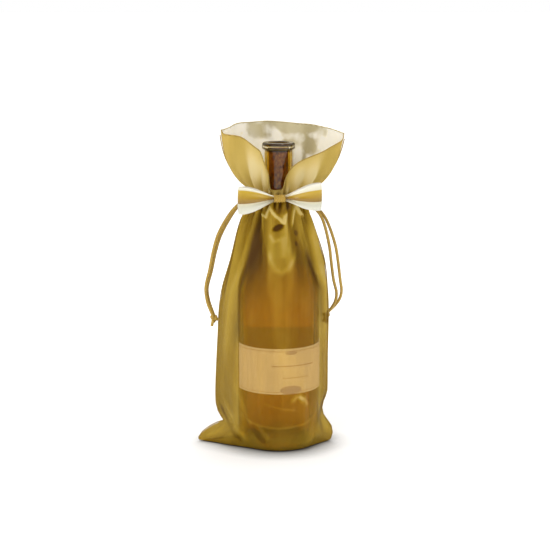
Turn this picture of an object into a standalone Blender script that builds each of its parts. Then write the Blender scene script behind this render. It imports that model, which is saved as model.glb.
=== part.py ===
"""A sheer drawstring gift bag tied round a wine bottle, with a striped bow at its neck.

The origin is the middle of the bottle's seat, on the underside of the bag's bottom. +Z is up,
-Y is the front, where the bow is, and +X is to the right of someone who looks at the front.
"""

import math

import bpy
from mathutils import Vector
from mathutils.geometry import interpolate_bezier

MM = 0.001
GAP = 0.4 * MM  # between neighbouring solids
CLOTH = 1.0 * MM  # wall of each cloth solid

# Bottle: outer radius against height above its own base
BOTTLE_HEIGHT = 297.4 * MM
BOTTLE_SEAT = CLOTH + GAP
BODY_RADIUS = 40 * MM
GLASS_WALL = 3.0 * MM
PUNT_DEPTH = 18 * MM
BORE_RADIUS = 9.7 * MM
LIP_RADIUS = 16 * MM
LIP_HEIGHT = 6.6 * MM
BOTTLE_SIDE = [  # (height, radius), in mm, up to the underside of the lip
    (0, 34), (3, 38), (10, 40), (80, 40), (150, 40), (162, 39), (178, 33),
    (195, 23.5), (208, 18), (222, 15.6), (240, 14.4), (268, 13.8), (290.8, 13.5),
]
SHOULDER_START = 4  # index in BOTTLE_SIDE where the straight body ends
FILL_HEIGHT = 236 * MM
CORK_LENGTH = 45 * MM
CORK_RADIUS = BORE_RADIUS - GAP
CORK_RECESS = 4.4 * MM
LABEL_THICKNESS = 0.3 * MM

# Bag body: how far the side seams stand from the bottle's axis, against height, in mm
SEAM_LEFT = [
    (0, 78.6), (3, 78.8), (8.5, 75.2), (14.5, 67.2), (18, 60.4), (20.8, 53.4), (25, 56), (31, 59.2),
    (38, 61), (52, 61.4), (78, 60.4), (112, 58.6), (135, 57.4), (157, 54), (184, 46), (213, 39),
    (227, 34), (234, 28),
]
SEAM_RIGHT = [
    (0, 50.6), (3, 51.6), (8.5, 53), (14.5, 52), (20.8, 47.8), (27, 43.8), (34, 42.4), (41, 43.8),
    (46, 45.8), (52, 47.4), (90, 47.6), (112, 48), (135, 48.2), (157, 47), (184, 44),
    (213, 35), (227, 30), (234, 26),
]
PANEL_RADIUS = [  # how far the cloth stands from the bottle's axis: on the body, then clear of the shoulder
    (0, 36.5), (4, 39.5), (10, 41.3), (150, 41.3), (162, 40.8), (180, 37), (198, 32), (213, 27.8),
    (227, 24), (234, 22.4),
]
PANEL_LEVELS = [
    0, 3, 8.5, 14.5, 18, 20.8, 27, 34, 41, 52, 80, 112, 135, 157, 170, 184, 198, 213, 227, 234,
]
PANEL_COLUMNS = 25
SEAM_HALF_GAP = 0.5 * MM
SEAM_RADIUS = 0.5 * MM
SEAM_OFFSET = 1.0 * MM
SEAM_LOW_END = 1.5
BOTTOM_SEAM_HALF_WIDTH = 1.2 * MM

# Drawstring channel round the neck, and the two cords in it
CASING_BOTTOM = 237.4 * MM
CASING_TOP = 248.2 * MM
CASING_INNER = 16.2 * MM
CASING_OUTER = 22.6 * MM
CASING_WALL = 0.8 * MM
EYELET_HALF_WIDTH = 5 * MM
EYELET_MARGIN = 1.4 * MM
CORD_RADIUS = 1.5 * MM
CORD_RING_RADIUS = 19.4 * MM
CORD_RING_GAP_DEG = 18
LEFT_CORD_HEIGHT = 244.8 * MM
RIGHT_CORD_HEIGHT = 240.9 * MM
LEFT_FRONT_ROUTE = [
    (-23.4, -3, 244.8), (-26.5, -3.3, 244.7), (-32, -4, 243.2), (-41, -5, 237), (-49.5, -5.2, 226.5),
    (-58.5, -5.2, 210), (-63.6, -5, 193), (-67.4, -5.2, 174), (-70.4, -5.6, 162),
    (-71.2, -5.8, 153), (-69.4, -5.8, 141.5), (-65.4, -6, 131.2),
]
LEFT_BACK_ROUTE = [
    (-23.4, 3, 244.8), (-26.5, 3, 244.4), (-32, 2.8, 242), (-40.5, 2.2, 234.6), (-48, 1.4, 223.6),
    (-56.5, 0.4, 207.5), (-61.6, -0.4, 191), (-65.6, -1, 172.5), (-68.8, -1.6, 161),
    (-69.8, -2, 152.5), (-68, -2.2, 142), (-64.4, -2.4, 131.4),
]
LEFT_KNOT = (-63.6, -4.2, 125.8)
RIGHT_FRONT_ROUTE = [
    (23.4, -3, 240.9), (26.5, -2.7, 240.4), (31, -2, 238), (37, -1, 232.8), (42, 0, 225.6),
    (46, 1, 214), (49.8, 2, 196.5), (51.8, 3.5, 180.5), (54.2, 6, 163), (57.3, 9.3, 149.5),
    (56.6, 11.8, 140.5), (53.5, 13.3, 133.8), (50, 14, 129),
]
RIGHT_BACK_ROUTE = [
    (23.4, 3, 240.9), (26.5, 3.1, 240.7), (31.5, 3.6, 239), (38.4, 4.4, 233.4), (45, 5, 225.6),
    (50.4, 5.4, 214), (55.9, 6, 196.5), (58.6, 6.8, 180.5), (60.8, 8.2, 163), (62.4, 10.8, 151),
    (61, 14, 142.4), (57, 16.6, 135.4), (51.6, 17.6, 129.6),
]
RIGHT_KNOT = (47.6, 16.8, 124)
KNOT_HALF_WIDTH = 3.4 * MM
KNOT_HALF_HEIGHT = 4.6 * MM
CORD_POINT_SPACING = 5 * MM

# Collar above the tie: base ring, and the rim's own points in mm
COLLAR_BASE_RADIUS = 18.8 * MM
COLLAR_BASE_HEIGHT = 255 * MM
# How far out and how far up the wall has gone where it turns upward, as shares of its own reach
MIDDLE_BEND = (0.62, 0.30)
LEFT_SEAM_BEND = (0.92, 0.17)
RIGHT_SEAM_BEND = (0.81, 0.06)
LEFT_LOBE_RIM = [
    (-3, -19, 257.5), (-7.6, -19.3, 259.5), (-9.2, -20, 266), (-12, -20.9, 276.4), (-16, -21.8, 288.5),
    (-21.5, -21.2, 295.6), (-30.5, -17.6, 302), (-39.7, -12, 305.4), (-48, -6, 306.6), (-55.2, -1, 309),
]
RIGHT_LOBE_RIM = [
    (3, -19, 257.5), (5.4, -19.4, 260.5), (9, -20, 269.6), (13, -20.3, 277), (20.5, -19.5, 282.5),
    (31.9, -16.5, 287.4), (46.4, -10.5, 292.5), (56.5, -5.4, 298), (62.5, -1, 305),
]
BACK_RIM = [
    (-55.4, 1, 310.8), (-47, 6.5, 313), (-37.4, 16, 315.8), (-27.8, 23, 316.2), (-12, 33, 316),
    (1.5, 35.5, 315.2), (21.2, 32.5, 313.8), (40.6, 23, 312), (50.1, 15.5, 310.6), (59.5, 5, 308.2),
    (62.9, 1, 307.3),
]
HEM_RADIUS = 0.6 * MM
HEM_OFFSET = 1.2 * MM
COLLAR_SEAM_OFFSET = 1.3 * MM

# Tie and bow
TIE_HEIGHT = 249.8 * MM
TIE_RADIUS = 20 * MM
TIE_THICKNESS = 0.8 * MM
BOW_CENTRE = Vector((1.2, -28, 249.4)) * MM
BOW_PLAN = [  # the right half of the ribbon seen from above, round from front to back, in mm
    (5.5, -1.1), (11.8, -3.2), (21.5, -5.2), (31.9, -5.4), (38.1, -3.6), (40.1, -0.5),
    (38.1, 2.4), (31.9, 3.6), (21.5, 3.2), (11.8, 1.8), (5.5, 0.9),
]
BOW_WAIST_HALF_HEIGHT = 2.4 * MM
BOW_END_HALF_HEIGHT = 13.3 * MM
BOW_SPREAD = 30 * MM  # distance from the middle where the ribbon has its full width
RIBBON_THICKNESS = 0.6 * MM
BAND_HALF_LENGTH = 5.5 * MM
BAND_HALF_DEPTH = 3.5 * MM
BAND_HALF_HEIGHT = 3.8 * MM
BAND_THICKNESS = 0.6 * MM
BOW_RISE = 0.037  # how steeply the bow climbs towards its right end

ROUND_STEPS = 40


def clear_scene():
    for obj in list(bpy.data.objects):
        bpy.data.objects.remove(obj)


def collection(name):
    made = bpy.data.collections.new(name)
    bpy.context.scene.collection.children.link(made)
    return made


def material(name, colour, roughness, metallic=0.0, alpha=1.0):
    made = bpy.data.materials.new(name)
    made.use_nodes = True
    shader = made.node_tree.nodes["Principled BSDF"]
    shader.inputs["Base Color"].default_value = (*colour, 1.0)
    shader.inputs["Roughness"].default_value = roughness
    shader.inputs["Metallic"].default_value = metallic
    shader.inputs["Alpha"].default_value = alpha
    return made


def add_object(name, data, finish, parts):
    obj = bpy.data.objects.new(name, data)
    data.materials.append(finish)
    parts.objects.link(obj)
    return obj


def eased(table, height):
    """The value at a height, in metres, from a table of (height, value) in mm, eased between rows."""
    at = height / MM
    if at <= table[0][0]:
        return table[0][1] * MM
    for (low, start), (high, end) in zip(table, table[1:]):
        if at <= high:
            share = (at - low) / (high - low)
            return (start + (end - start) * share) * MM
    return table[-1][1] * MM


def spline_points(points, spacing):
    """Points about this far apart on a smooth curve through the given ones."""
    knots = [Vector(p) for p in points]
    before = knots[0] + (knots[0] - knots[1])
    after = knots[-1] + (knots[-1] - knots[-2])
    ends = [before, *knots, after]
    made = [knots[0]]
    for i in range(1, len(ends) - 2):
        reach_in = (ends[i + 1] - ends[i - 1]) / 6
        reach_out = (ends[i + 2] - ends[i]) / 6
        steps = max(1, round((ends[i + 1] - ends[i]).length / spacing))
        stretch = interpolate_bezier(
            ends[i], ends[i] + reach_in, ends[i + 1] - reach_out, ends[i + 1], steps + 1
        )
        made += stretch[1:]
    return made


def tube(name, points, radius, finish, parts):
    """A round cord or welt along points, with flat ends."""
    curve = bpy.data.curves.new(name, "CURVE")
    curve.dimensions = "3D"
    curve.bevel_depth = radius
    curve.bevel_resolution = 2
    curve.use_fill_caps = True
    spline = curve.splines.new("POLY")
    spline.points.add(len(points) - 1)
    for target, point in zip(spline.points, points):
        target.co = (*point, 1.0)
    return add_object(name, curve, finish, parts)


def turned(name, profile, finish, parts):
    """A solid of revolution about Z. The profile runs down its outer side, in (radius, height)."""
    mesh = bpy.data.meshes.new(name)
    mesh.from_pydata(
        [(r, 0, z) for r, z in profile], [(i, i + 1) for i in range(len(profile) - 1)], []
    )
    obj = add_object(name, mesh, finish, parts)
    screw = obj.modifiers.new("Turn", "SCREW")
    screw.steps = ROUND_STEPS
    screw.render_steps = ROUND_STEPS
    screw.use_merge_vertices = True
    screw.merge_threshold = 0.00001
    screw.use_smooth_shade = True
    return obj


def loft(name, rows, thickness, offset, finish, parts, closed=False):
    """A sheet through rows of points, thickened by Solidify."""
    width = len(rows[0])
    columns = width if closed else width - 1
    faces = [
        (
            r * width + c,
            r * width + (c + 1) % width,
            (r + 1) * width + (c + 1) % width,
            (r + 1) * width + c,
        )
        for r in range(len(rows) - 1)
        for c in range(columns)
    ]
    mesh = bpy.data.meshes.new(name)
    mesh.from_pydata([tuple(p) for row in rows for p in row], [], faces)
    obj = add_object(name, mesh, finish, parts)
    solidify = obj.modifiers.new("Wall", "SOLIDIFY")
    solidify.thickness = thickness
    solidify.offset = offset
    mesh.shade_smooth()
    mesh.set_sharp_from_angle(angle=math.radians(40))
    return obj


def plate(name, outline, bottom, top, finish, parts):
    """A flat plate with this outline, as a mesh."""
    curve = bpy.data.curves.new(name, "CURVE")
    curve.dimensions = "2D"
    curve.fill_mode = "BOTH"
    curve.extrude = (top - bottom) / 2
    spline = curve.splines.new("POLY")
    spline.points.add(len(outline) - 1)
    spline.use_cyclic_u = True
    for target, (x, y) in zip(spline.points, outline):
        target.co = (x, y, 0, 1.0)
    guide = bpy.data.objects.new(name + "_outline", curve)
    bpy.context.scene.collection.objects.link(guide)
    evaluated = guide.evaluated_get(bpy.context.evaluated_depsgraph_get())
    mesh = bpy.data.meshes.new_from_object(evaluated)
    bpy.data.objects.remove(guide)
    mesh.name = name
    obj = add_object(name, mesh, finish, parts)
    obj.location.z = (bottom + top) / 2
    weld = obj.modifiers.new("Caps", "WELD")
    weld.merge_threshold = 0.00001
    return obj


def combine(target, helper, operation):
    """Joins helper to target, or cuts it away, and leaves it out of the object."""
    helper.hide_render = True
    helper.display_type = "WIRE"
    boolean = target.modifiers.new(operation.title(), "BOOLEAN")
    boolean.operation = operation
    boolean.solver = "EXACT"
    boolean.object = helper


def bottle_outside():
    """The bottle's outer side from the lip's underside down to the heel, in (radius, height)."""
    heights = [h * MM for h, _ in BOTTLE_SIDE[: SHOULDER_START + 1]]
    straight = [(eased(BOTTLE_SIDE, h), h) for h in heights]
    shoulder = [(r * MM, 0, h * MM) for h, r in BOTTLE_SIDE[SHOULDER_START:]]
    curved = [(p.x, p.z) for p in spline_points(shoulder, 6 * MM)]
    side = straight + curved[1:]
    return [(r, h + BOTTLE_SEAT) for r, h in reversed(side)]


def bottle_inside():
    """The hollow's side from its floor's edge up to the mouth, in (radius, height)."""
    floor = BOTTLE_SEAT + PUNT_DEPTH * 0.35
    side = [
        (max(BORE_RADIUS, r - GLASS_WALL), h)
        for r, h in reversed(bottle_outside())
        if h > floor + 6 * MM
    ]
    return [(side[0][0] * 0.9, floor), *side]


def make_bottle(glass, wine, paper, cork, parts):
    top = BOTTLE_SEAT + BOTTLE_HEIGHT
    lip_edge = 1.2 * MM
    floor = BOTTLE_SEAT + PUNT_DEPTH + GLASS_WALL
    inside = bottle_inside()
    lip = [
        (BORE_RADIUS, top - lip_edge),
        (BORE_RADIUS + lip_edge, top),
        (LIP_RADIUS - lip_edge, top),
        (LIP_RADIUS, top - lip_edge),
        (LIP_RADIUS, top - LIP_HEIGHT + lip_edge),
        (LIP_RADIUS - lip_edge, top - LIP_HEIGHT),
    ]
    base = [
        (30 * MM, BOTTLE_SEAT),
        (24 * MM, BOTTLE_SEAT + PUNT_DEPTH * 0.45),
        (14 * MM, BOTTLE_SEAT + PUNT_DEPTH * 0.85),
        (0, BOTTLE_SEAT + PUNT_DEPTH),
    ]
    profile = [(0, floor), (16 * MM, floor - 4 * MM), *inside, *lip, *bottle_outside(), *base]
    turned("bottle_glass", profile, glass, parts)

    liquid = [(r - GAP, h) for r, h in inside if h < FILL_HEIGHT]
    liquid[0] = (liquid[0][0], inside[0][1] + GAP)
    surface = [(0, FILL_HEIGHT), (liquid[-1][0], FILL_HEIGHT)]
    bottom = [(16 * MM, floor - 4 * MM + GAP), (0, floor + GAP)]
    turned("wine", [*surface, *reversed(liquid), *bottom], wine, parts)

    cork_top = top - CORK_RECESS
    chamfer = 0.8 * MM
    cork_bottom = cork_top - CORK_LENGTH
    turned(
        "cork",
        [
            (0, cork_top),
            (CORK_RADIUS - chamfer, cork_top),
            (CORK_RADIUS, cork_top - chamfer),
            (CORK_RADIUS, cork_bottom + chamfer),
            (CORK_RADIUS - chamfer, cork_bottom),
            (0, cork_bottom),
        ],
        cork,
        parts,
    )
    label("front_label", 58.3 * MM, 103.5 * MM, -78, 168, paper, parts)
    label("back_label", 50 * MM, 111.8 * MM, 95, 100, paper, parts)


def label(name, bottom, top, middle_deg, width_deg, finish, parts):
    """A paper label bent round the bottle, just clear of the glass."""
    radius = BODY_RADIUS + GAP
    count = 29
    angles = [
        math.radians(middle_deg + width_deg * (i / (count - 1) - 0.5)) for i in range(count)
    ]
    rows = [
        [Vector((radius * math.cos(a), radius * math.sin(a), z)) for a in angles]
        for z in (bottom, (bottom + top) / 2, top)
    ]
    loft(name, rows, LABEL_THICKNESS, 1, finish, parts)


def panel_section(height, side, grow=0.0):
    """One cloth panel at one height: from the left seam, tangent to the bottle and round it, to
    the right seam. side is -1 for the front panel and 1 for the back."""
    radius = eased(PANEL_RADIUS, height) + grow
    left = max(eased(SEAM_LEFT, height) + grow, radius + MM)
    right = max(eased(SEAM_RIGHT, height) + grow, radius + MM)
    left_angle = math.acos(radius / left)
    right_angle = math.acos(radius / right)
    left_straight = math.sqrt(left**2 - radius**2)
    right_straight = math.sqrt(right**2 - radius**2)
    arc = radius * (math.pi - left_angle - right_angle)
    total = left_straight + arc + right_straight
    tangent_left = Vector((-radius * math.cos(left_angle), radius * math.sin(left_angle)))
    tangent_right = Vector((radius * math.cos(right_angle), radius * math.sin(right_angle)))
    points = []
    for i in range(PANEL_COLUMNS):
        at = total * i / (PANEL_COLUMNS - 1)
        if at < left_straight:
            flat = Vector((-left, 0)).lerp(tangent_left, at / left_straight)
        elif at < left_straight + arc:
            angle = math.pi - left_angle - (at - left_straight) / radius
            flat = Vector((radius * math.cos(angle), radius * math.sin(angle)))
        else:
            flat = tangent_right.lerp(
                Vector((right, 0)), (at - left_straight - arc) / right_straight
            )
        points.append(Vector((flat.x, side * (flat.y + SEAM_HALF_GAP), height)))
    return points


def make_panel(name, side, cloth, parts, helpers):
    """A body panel with its fold under the bottle."""
    rows = [panel_section(level * MM, side) for level in PANEL_LEVELS]
    panel = loft(name, rows, CLOTH, -side, cloth, parts)
    inner_edge = side * (BOTTOM_SEAM_HALF_WIDTH + GAP)
    section = panel_section(0, side, grow=CLOTH / 2)
    kept = [(p.x, p.y) for p in section if side * p.y > side * inner_edge + MM]
    outline = [(kept[0][0], inner_edge), *kept, (kept[-1][0], inner_edge)]
    fold = plate(name + "_fold", outline, 0, CLOTH, cloth, helpers)
    combine(panel, fold, "UNION")


def outside(points, sign, distance):
    """The same line in the plane of the side seams, moved away from the cloth by a distance."""
    line = []
    for i, point in enumerate(points):
        along = points[min(i + 1, len(points) - 1)] - points[max(i - 1, 0)]
        away = Vector((sign * along.z, 0, -sign * along.x)).normalized()
        line.append(point + away * distance)
    return line


def make_side_seam(name, table, sign, thread, parts):
    edge = [
        Vector((sign * value, 0, max(height, SEAM_LOW_END))) * MM for height, value in table
    ]
    route = spline_points(edge, CORD_POINT_SPACING)
    tube(name, outside(route, sign, SEAM_OFFSET), SEAM_RADIUS, thread, parts)


def make_bag(cloth, thread, parts, helpers):
    make_panel("front_panel", -1, cloth, parts, helpers)
    make_panel("back_panel", 1, cloth, parts, helpers)
    make_side_seam("left_side_seam", SEAM_LEFT, -1, thread, parts)
    make_side_seam("right_side_seam", SEAM_RIGHT, 1, thread, parts)
    left = -eased(SEAM_LEFT, 0) + 4 * MM
    right = eased(SEAM_RIGHT, 0) - 4 * MM
    half = BOTTOM_SEAM_HALF_WIDTH
    outline = [(left, -half), (right, -half), (right, half), (left, half)]
    plate("bottom_seam", outline, 0, CLOTH, thread, parts)


def make_casing(cloth, parts, helpers):
    """The stitched channel that holds the cords, open at both side seams."""
    inner = CASING_INNER
    outer = CASING_OUTER
    casing = turned(
        "drawstring_casing",
        [
            (inner, CASING_BOTTOM),
            (inner, CASING_TOP),
            (outer, CASING_TOP),
            (outer, CASING_BOTTOM),
            (inner, CASING_BOTTOM),
        ],
        cloth,
        parts,
    )
    channel = turned(
        "casing_channel",
        [
            (inner + CASING_WALL, CASING_BOTTOM + CASING_WALL),
            (inner + CASING_WALL, CASING_TOP - CASING_WALL),
            (outer - CASING_WALL, CASING_TOP - CASING_WALL),
            (outer - CASING_WALL, CASING_BOTTOM + CASING_WALL),
            (inner + CASING_WALL, CASING_BOTTOM + CASING_WALL),
        ],
        cloth,
        helpers,
    )
    for ring in (casing, channel):
        ring.modifiers["Turn"].merge_threshold = 0.00001
    combine(casing, channel, "DIFFERENCE")
    for name, sign in (("left_eyelet", -1), ("right_eyelet", 1)):
        middle = (CASING_BOTTOM + CASING_TOP) / 2
        height = CASING_TOP - CASING_BOTTOM - 2 * EYELET_MARGIN
        cutter = box(name, (6 * MM, 2 * EYELET_HALF_WIDTH, height), cloth, helpers)
        cutter.location = (sign * CASING_OUTER, 0, middle)
        combine(casing, cutter, "DIFFERENCE")


def box(name, size, finish, parts):
    bpy.ops.mesh.primitive_cube_add(size=1)
    obj = bpy.context.object
    obj.name = name
    obj.data.name = name
    for vertex in obj.data.vertices:
        vertex.co = Vector(a * b for a, b in zip(vertex.co, size))
    obj.data.materials.append(finish)
    move_to(obj, parts)
    return obj


def move_to(obj, parts):
    for holder in list(obj.users_collection):
        holder.objects.unlink(obj)
    parts.objects.link(obj)


def cord_ring(name, height, exit_deg, cord, parts):
    """The stretch of a cord inside the channel, open where the cord leaves it."""
    count = 44
    first = exit_deg + CORD_RING_GAP_DEG
    sweep = 360 - 2 * CORD_RING_GAP_DEG
    angles = [math.radians(first + sweep * i / (count - 1)) for i in range(count)]
    points = [
        Vector((CORD_RING_RADIUS * math.cos(a), CORD_RING_RADIUS * math.sin(a), height))
        for a in angles
    ]
    tube(name, points, CORD_RADIUS, cord, parts)


def strand(name, route, cord, parts):
    points = spline_points([Vector(p) * MM for p in route], CORD_POINT_SPACING)
    tube(name, points, CORD_RADIUS, cord, parts)


def knot(name, centre, cord, parts):
    bpy.ops.mesh.primitive_uv_sphere_add(segments=20, ring_count=12, radius=1)
    obj = bpy.context.object
    obj.name = name
    obj.data.name = name
    half = (KNOT_HALF_WIDTH, KNOT_HALF_WIDTH, KNOT_HALF_HEIGHT)
    for vertex in obj.data.vertices:
        vertex.co = Vector(a * b for a, b in zip(vertex.co, half))
    obj.location = Vector(centre) * MM
    obj.data.materials.append(cord)
    obj.data.shade_smooth()
    move_to(obj, parts)


def make_drawstrings(cord, parts):
    cord_ring("left_drawstring_ring", LEFT_CORD_HEIGHT, 180, cord, parts)
    cord_ring("right_drawstring_ring", RIGHT_CORD_HEIGHT, 0, cord, parts)
    strand("left_front_strand", LEFT_FRONT_ROUTE, cord, parts)
    strand("left_back_strand", LEFT_BACK_ROUTE, cord, parts)
    knot("left_knot", LEFT_KNOT, cord, parts)
    strand("right_front_strand", RIGHT_FRONT_ROUTE, cord, parts)
    strand("right_back_strand", RIGHT_BACK_ROUTE, cord, parts)
    knot("right_knot", RIGHT_KNOT, cord, parts)


def collar_column(start_deg, rim, share_up):
    """A point of the collar wall between the base ring and a rim point."""
    angle = math.radians(start_deg)
    base = Vector(
        (COLLAR_BASE_RADIUS * math.cos(angle), COLLAR_BASE_RADIUS * math.sin(angle), COLLAR_BASE_HEIGHT)
    )
    seam_bend = LEFT_SEAM_BEND if math.cos(angle) < 0 else RIGHT_SEAM_BEND
    beside = math.cos(angle) ** 2
    out, up = (m + (s - m) * beside for m, s in zip(MIDDLE_BEND, seam_bend))
    turn = Vector(
        (
            base.x + out * (rim.x - base.x),
            base.y + out * (rim.y - base.y),
            base.z + up * (rim.z - base.z),
        )
    )
    keep = 1 - share_up
    return keep**2 * base + 2 * keep * share_up * turn + share_up**2 * rim


def make_collar_panel(name, rim_points, first_deg, last_deg, cloth, thread, parts):
    """One panel of the collar, with the welt of its hem along the rim."""
    rim = spline_points([Vector(p) * MM for p in rim_points], 7 * MM)
    last = len(rim) - 1
    degrees = [first_deg + (last_deg - first_deg) * i / last for i in range(last + 1)]
    levels = [i / 7 for i in range(8)]
    rows = [
        [collar_column(d, p, level) for d, p in zip(degrees, rim)] for level in levels
    ]
    loft(name, rows, CLOTH, 0, cloth, parts)
    hem = []
    for i in range(1, last):
        along = (rim[i + 1] - rim[i - 1]).normalized()
        climb = rows[-1][i] - rows[-2][i]
        outward = (climb - climb.dot(along) * along).normalized()
        hem.append(rim[i] + outward * HEM_OFFSET)
    tube(name + "_hem", hem, HEM_RADIUS, thread, parts)


def make_collar_seam(name, corner, side_deg, thread, parts):
    """The side seam's stretch up the collar, just outside the two panels' edges."""
    sign = -1 if side_deg == 180 else 1
    points = [
        collar_column(side_deg, corner * MM, 0.1 + 0.85 * i / 9) for i in range(10)
    ]
    tube(name, outside(points, sign, COLLAR_SEAM_OFFSET), SEAM_RADIUS, thread, parts)


def make_collar(cloth, thread, parts):
    make_collar_panel("collar_left_lobe", LEFT_LOBE_RIM, 262, 184, cloth, thread, parts)
    make_collar_panel("collar_back", BACK_RIM, 176, 4, cloth, thread, parts)
    make_collar_panel("collar_right_lobe", RIGHT_LOBE_RIM, 278, 356, cloth, thread, parts)
    make_collar_seam("collar_left_seam", Vector((-55.4, 0, 310.6)), 180, thread, parts)
    make_collar_seam("collar_right_seam", Vector((63.1, 0, 307.2)), 0, thread, parts)


def make_tie(cord, parts):
    bpy.ops.mesh.primitive_torus_add(
        major_segments=ROUND_STEPS,
        minor_segments=8,
        major_radius=TIE_RADIUS,
        minor_radius=TIE_THICKNESS,
        location=(0, 0, TIE_HEIGHT),
    )
    obj = bpy.context.object
    obj.name = "neck_tie"
    obj.data.materials.append(cord)
    move_to(obj, parts)


def bow_half_height(x):
    share = max(0.0, min(1.0, (abs(x) - BAND_HALF_LENGTH) / (BOW_SPREAD - BAND_HALF_LENGTH)))
    smooth = share * share * (3 - 2 * share)
    return BOW_WAIST_HALF_HEIGHT + (BOW_END_HALF_HEIGHT - BOW_WAIST_HALF_HEIGHT) * smooth


def make_bow(satin, band, thread, parts):
    right = [Vector((x, y, 0)) * MM for x, y in BOW_PLAN]
    left = [Vector((-p.x, p.y, 0)) for p in reversed(right)]
    closed = spline_points([*right, *left, right[0]], 4 * MM)[:-1]
    rows = [
        [
            BOW_CENTRE + Vector((p.x, p.y, share * bow_half_height(p.x) + BOW_RISE * p.x))
            for p in closed
        ]
        for share in (-1, -0.5, 0, 0.5, 1)
    ]
    loft("bow_ribbon", rows, RIBBON_THICKNESS, 0, satin, parts, closed=True)
    count = 24
    ring = [
        (BAND_HALF_DEPTH * math.cos(a), BAND_HALF_HEIGHT * math.sin(a))
        for a in (math.tau * i / count for i in range(count))
    ]
    rows = [
        [BOW_CENTRE + Vector((x, y, z)) for y, z in ring]
        for x in (-BAND_HALF_LENGTH, 0, BAND_HALF_LENGTH)
    ]
    loft("bow_centre_band", rows, BAND_THICKNESS, -1, band, parts, closed=True)
    back = BOW_CENTRE.y + BAND_HALF_DEPTH + BAND_THICKNESS + GAP
    front_of_tie = -TIE_RADIUS - TIE_THICKNESS - GAP
    ends = [Vector((BOW_CENTRE.x, y, BOW_CENTRE.z)) for y in (back, (back + front_of_tie) / 2, front_of_tie)]
    tube("bow_stitch", ends, TIE_THICKNESS, thread, parts)


def main():
    clear_scene()
    parts = collection("wine_gift_bag")
    helpers = collection("cutters")
    organza = material("organza", (0.62, 0.46, 0.13), 0.45, alpha=0.6)
    hem = material("hem_thread", (0.50, 0.36, 0.09), 0.5)
    satin = material("bow_satin", (0.88, 0.82, 0.62), 0.3)
    gold = material("gold_satin", (0.60, 0.43, 0.10), 0.3)
    glass = material("amber_glass", (0.30, 0.17, 0.03), 0.05)
    wine = material("white_wine", (0.60, 0.38, 0.08), 0.05)
    paper = material("label_paper", (0.85, 0.78, 0.62), 0.7)
    bark = material("natural_cork", (0.55, 0.36, 0.20), 0.9)
    make_bottle(glass, wine, paper, bark, parts)
    make_bag(organza, hem, parts, helpers)
    make_casing(organza, parts, helpers)
    make_drawstrings(gold, parts)
    make_collar(organza, hem, parts)
    make_tie(gold, parts)
    make_bow(satin, gold, hem, parts)


main()
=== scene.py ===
import math

import bpy
import numpy as np
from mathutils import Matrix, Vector
from mathutils.geometry import interpolate_bezier


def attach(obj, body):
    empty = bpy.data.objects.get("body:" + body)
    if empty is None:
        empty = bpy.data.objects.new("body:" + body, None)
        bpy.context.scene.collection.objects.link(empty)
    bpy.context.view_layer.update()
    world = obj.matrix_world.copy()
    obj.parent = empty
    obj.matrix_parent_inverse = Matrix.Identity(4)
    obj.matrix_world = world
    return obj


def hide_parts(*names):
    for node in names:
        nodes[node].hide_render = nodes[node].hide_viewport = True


MM = 0.001
SPAN_POINTS = 17  # points on each stretch of a spline between two of its given ones
TABLE_POINTS = 600  # points that a table is read at before its corners are rounded off
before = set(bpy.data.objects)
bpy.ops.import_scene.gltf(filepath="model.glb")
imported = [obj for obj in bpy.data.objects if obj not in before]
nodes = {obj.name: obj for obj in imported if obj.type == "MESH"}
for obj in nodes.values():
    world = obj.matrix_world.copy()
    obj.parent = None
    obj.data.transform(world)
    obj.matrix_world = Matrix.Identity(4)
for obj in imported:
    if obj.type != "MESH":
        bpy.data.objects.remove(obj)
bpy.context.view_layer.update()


# ---------------------------------------------------------------- small helpers


def smooth(value, low, high):
    """0 below low, 1 above high, eased between. low may be the larger."""
    share = np.clip((value - low) / (high - low), 0.0, 1.0)
    return share * share * (3 - 2 * share)


def eased(points, at, blur):
    """Reads a table of (x, y) rows, ascending in x, with its corners rounded off over blur of
    its length."""
    xs = np.array([p[0] for p in points], float)
    ys = np.array([p[1] for p in points], float)
    fine = np.linspace(xs[0], xs[-1], TABLE_POINTS)
    values = np.interp(fine, xs, ys)
    reach = max(1, int(blur * TABLE_POINTS))
    kernel = np.exp(-0.5 * (np.arange(-3 * reach, 3 * reach + 1) / reach) ** 2)
    kernel /= kernel.sum()
    pad = 3 * reach
    left = 2 * values[0] - values[pad:0:-1]
    right = 2 * values[-1] - values[-2 : -pad - 2 : -1]
    rounded = np.convolve(np.concatenate([left, values, right]), kernel, "valid")
    return np.interp(at, fine, rounded)


def spline(points, count):
    """count points, evenly spaced, on a smooth curve through the given ones."""
    knots = [Vector(p) for p in points]
    ends = [2 * knots[0] - knots[1], *knots, 2 * knots[-1] - knots[-2]]
    made = [knots[0]]
    for i in range(1, len(ends) - 2):
        reach_in = (ends[i + 1] - ends[i - 1]) / 6
        reach_out = (ends[i + 2] - ends[i]) / 6
        made += interpolate_bezier(
            ends[i], ends[i] + reach_in, ends[i + 1] - reach_out, ends[i + 1], SPAN_POINTS
        )[1:]
    line = np.array([tuple(p) for p in made])
    steps = np.linalg.norm(np.diff(line, axis=0), axis=1)
    at = np.concatenate([[0], np.cumsum(steps)])
    even = np.linspace(0, at[-1], count)
    return np.stack([np.interp(even, at, line[:, k]) for k in range(3)], axis=1)


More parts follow.
